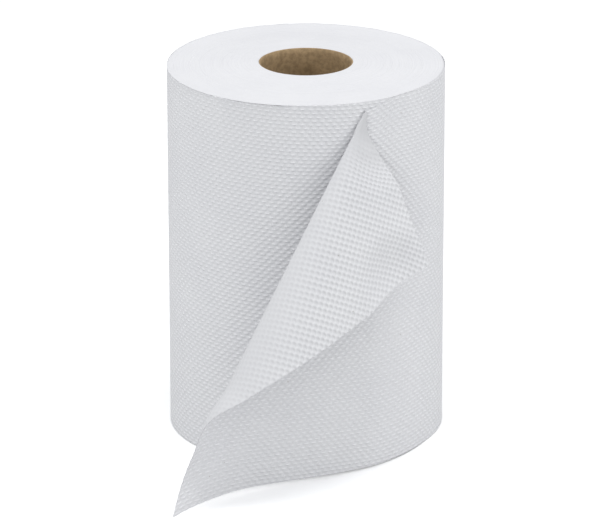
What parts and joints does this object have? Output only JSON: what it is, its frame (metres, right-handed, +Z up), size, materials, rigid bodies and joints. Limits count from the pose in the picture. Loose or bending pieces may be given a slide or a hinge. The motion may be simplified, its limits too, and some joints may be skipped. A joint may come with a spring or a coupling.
{
  "type": "paper towel roll",
  "caption": "Upright roll of embossed white paper towel on a board tube, its loose end peeled from the roll and curled over at the top corner.",
  "frame": {"origin": "on the tube's axis at the lower end of the roll, level with the surface it stands on", "axes": "+Z up along the tube's axis; the loose end peels off towards -Y, turning clockwise seen from above"},
  "size_m": [0.1476, 0.2171, 0.2017],
  "materials": {
    "board": "matt",
    "towel_paper": "matt, embossed"
  },
  "bodies": {
    "root": {"core": "board", "towel": "towel_paper"}
  },
  "joints": []
}
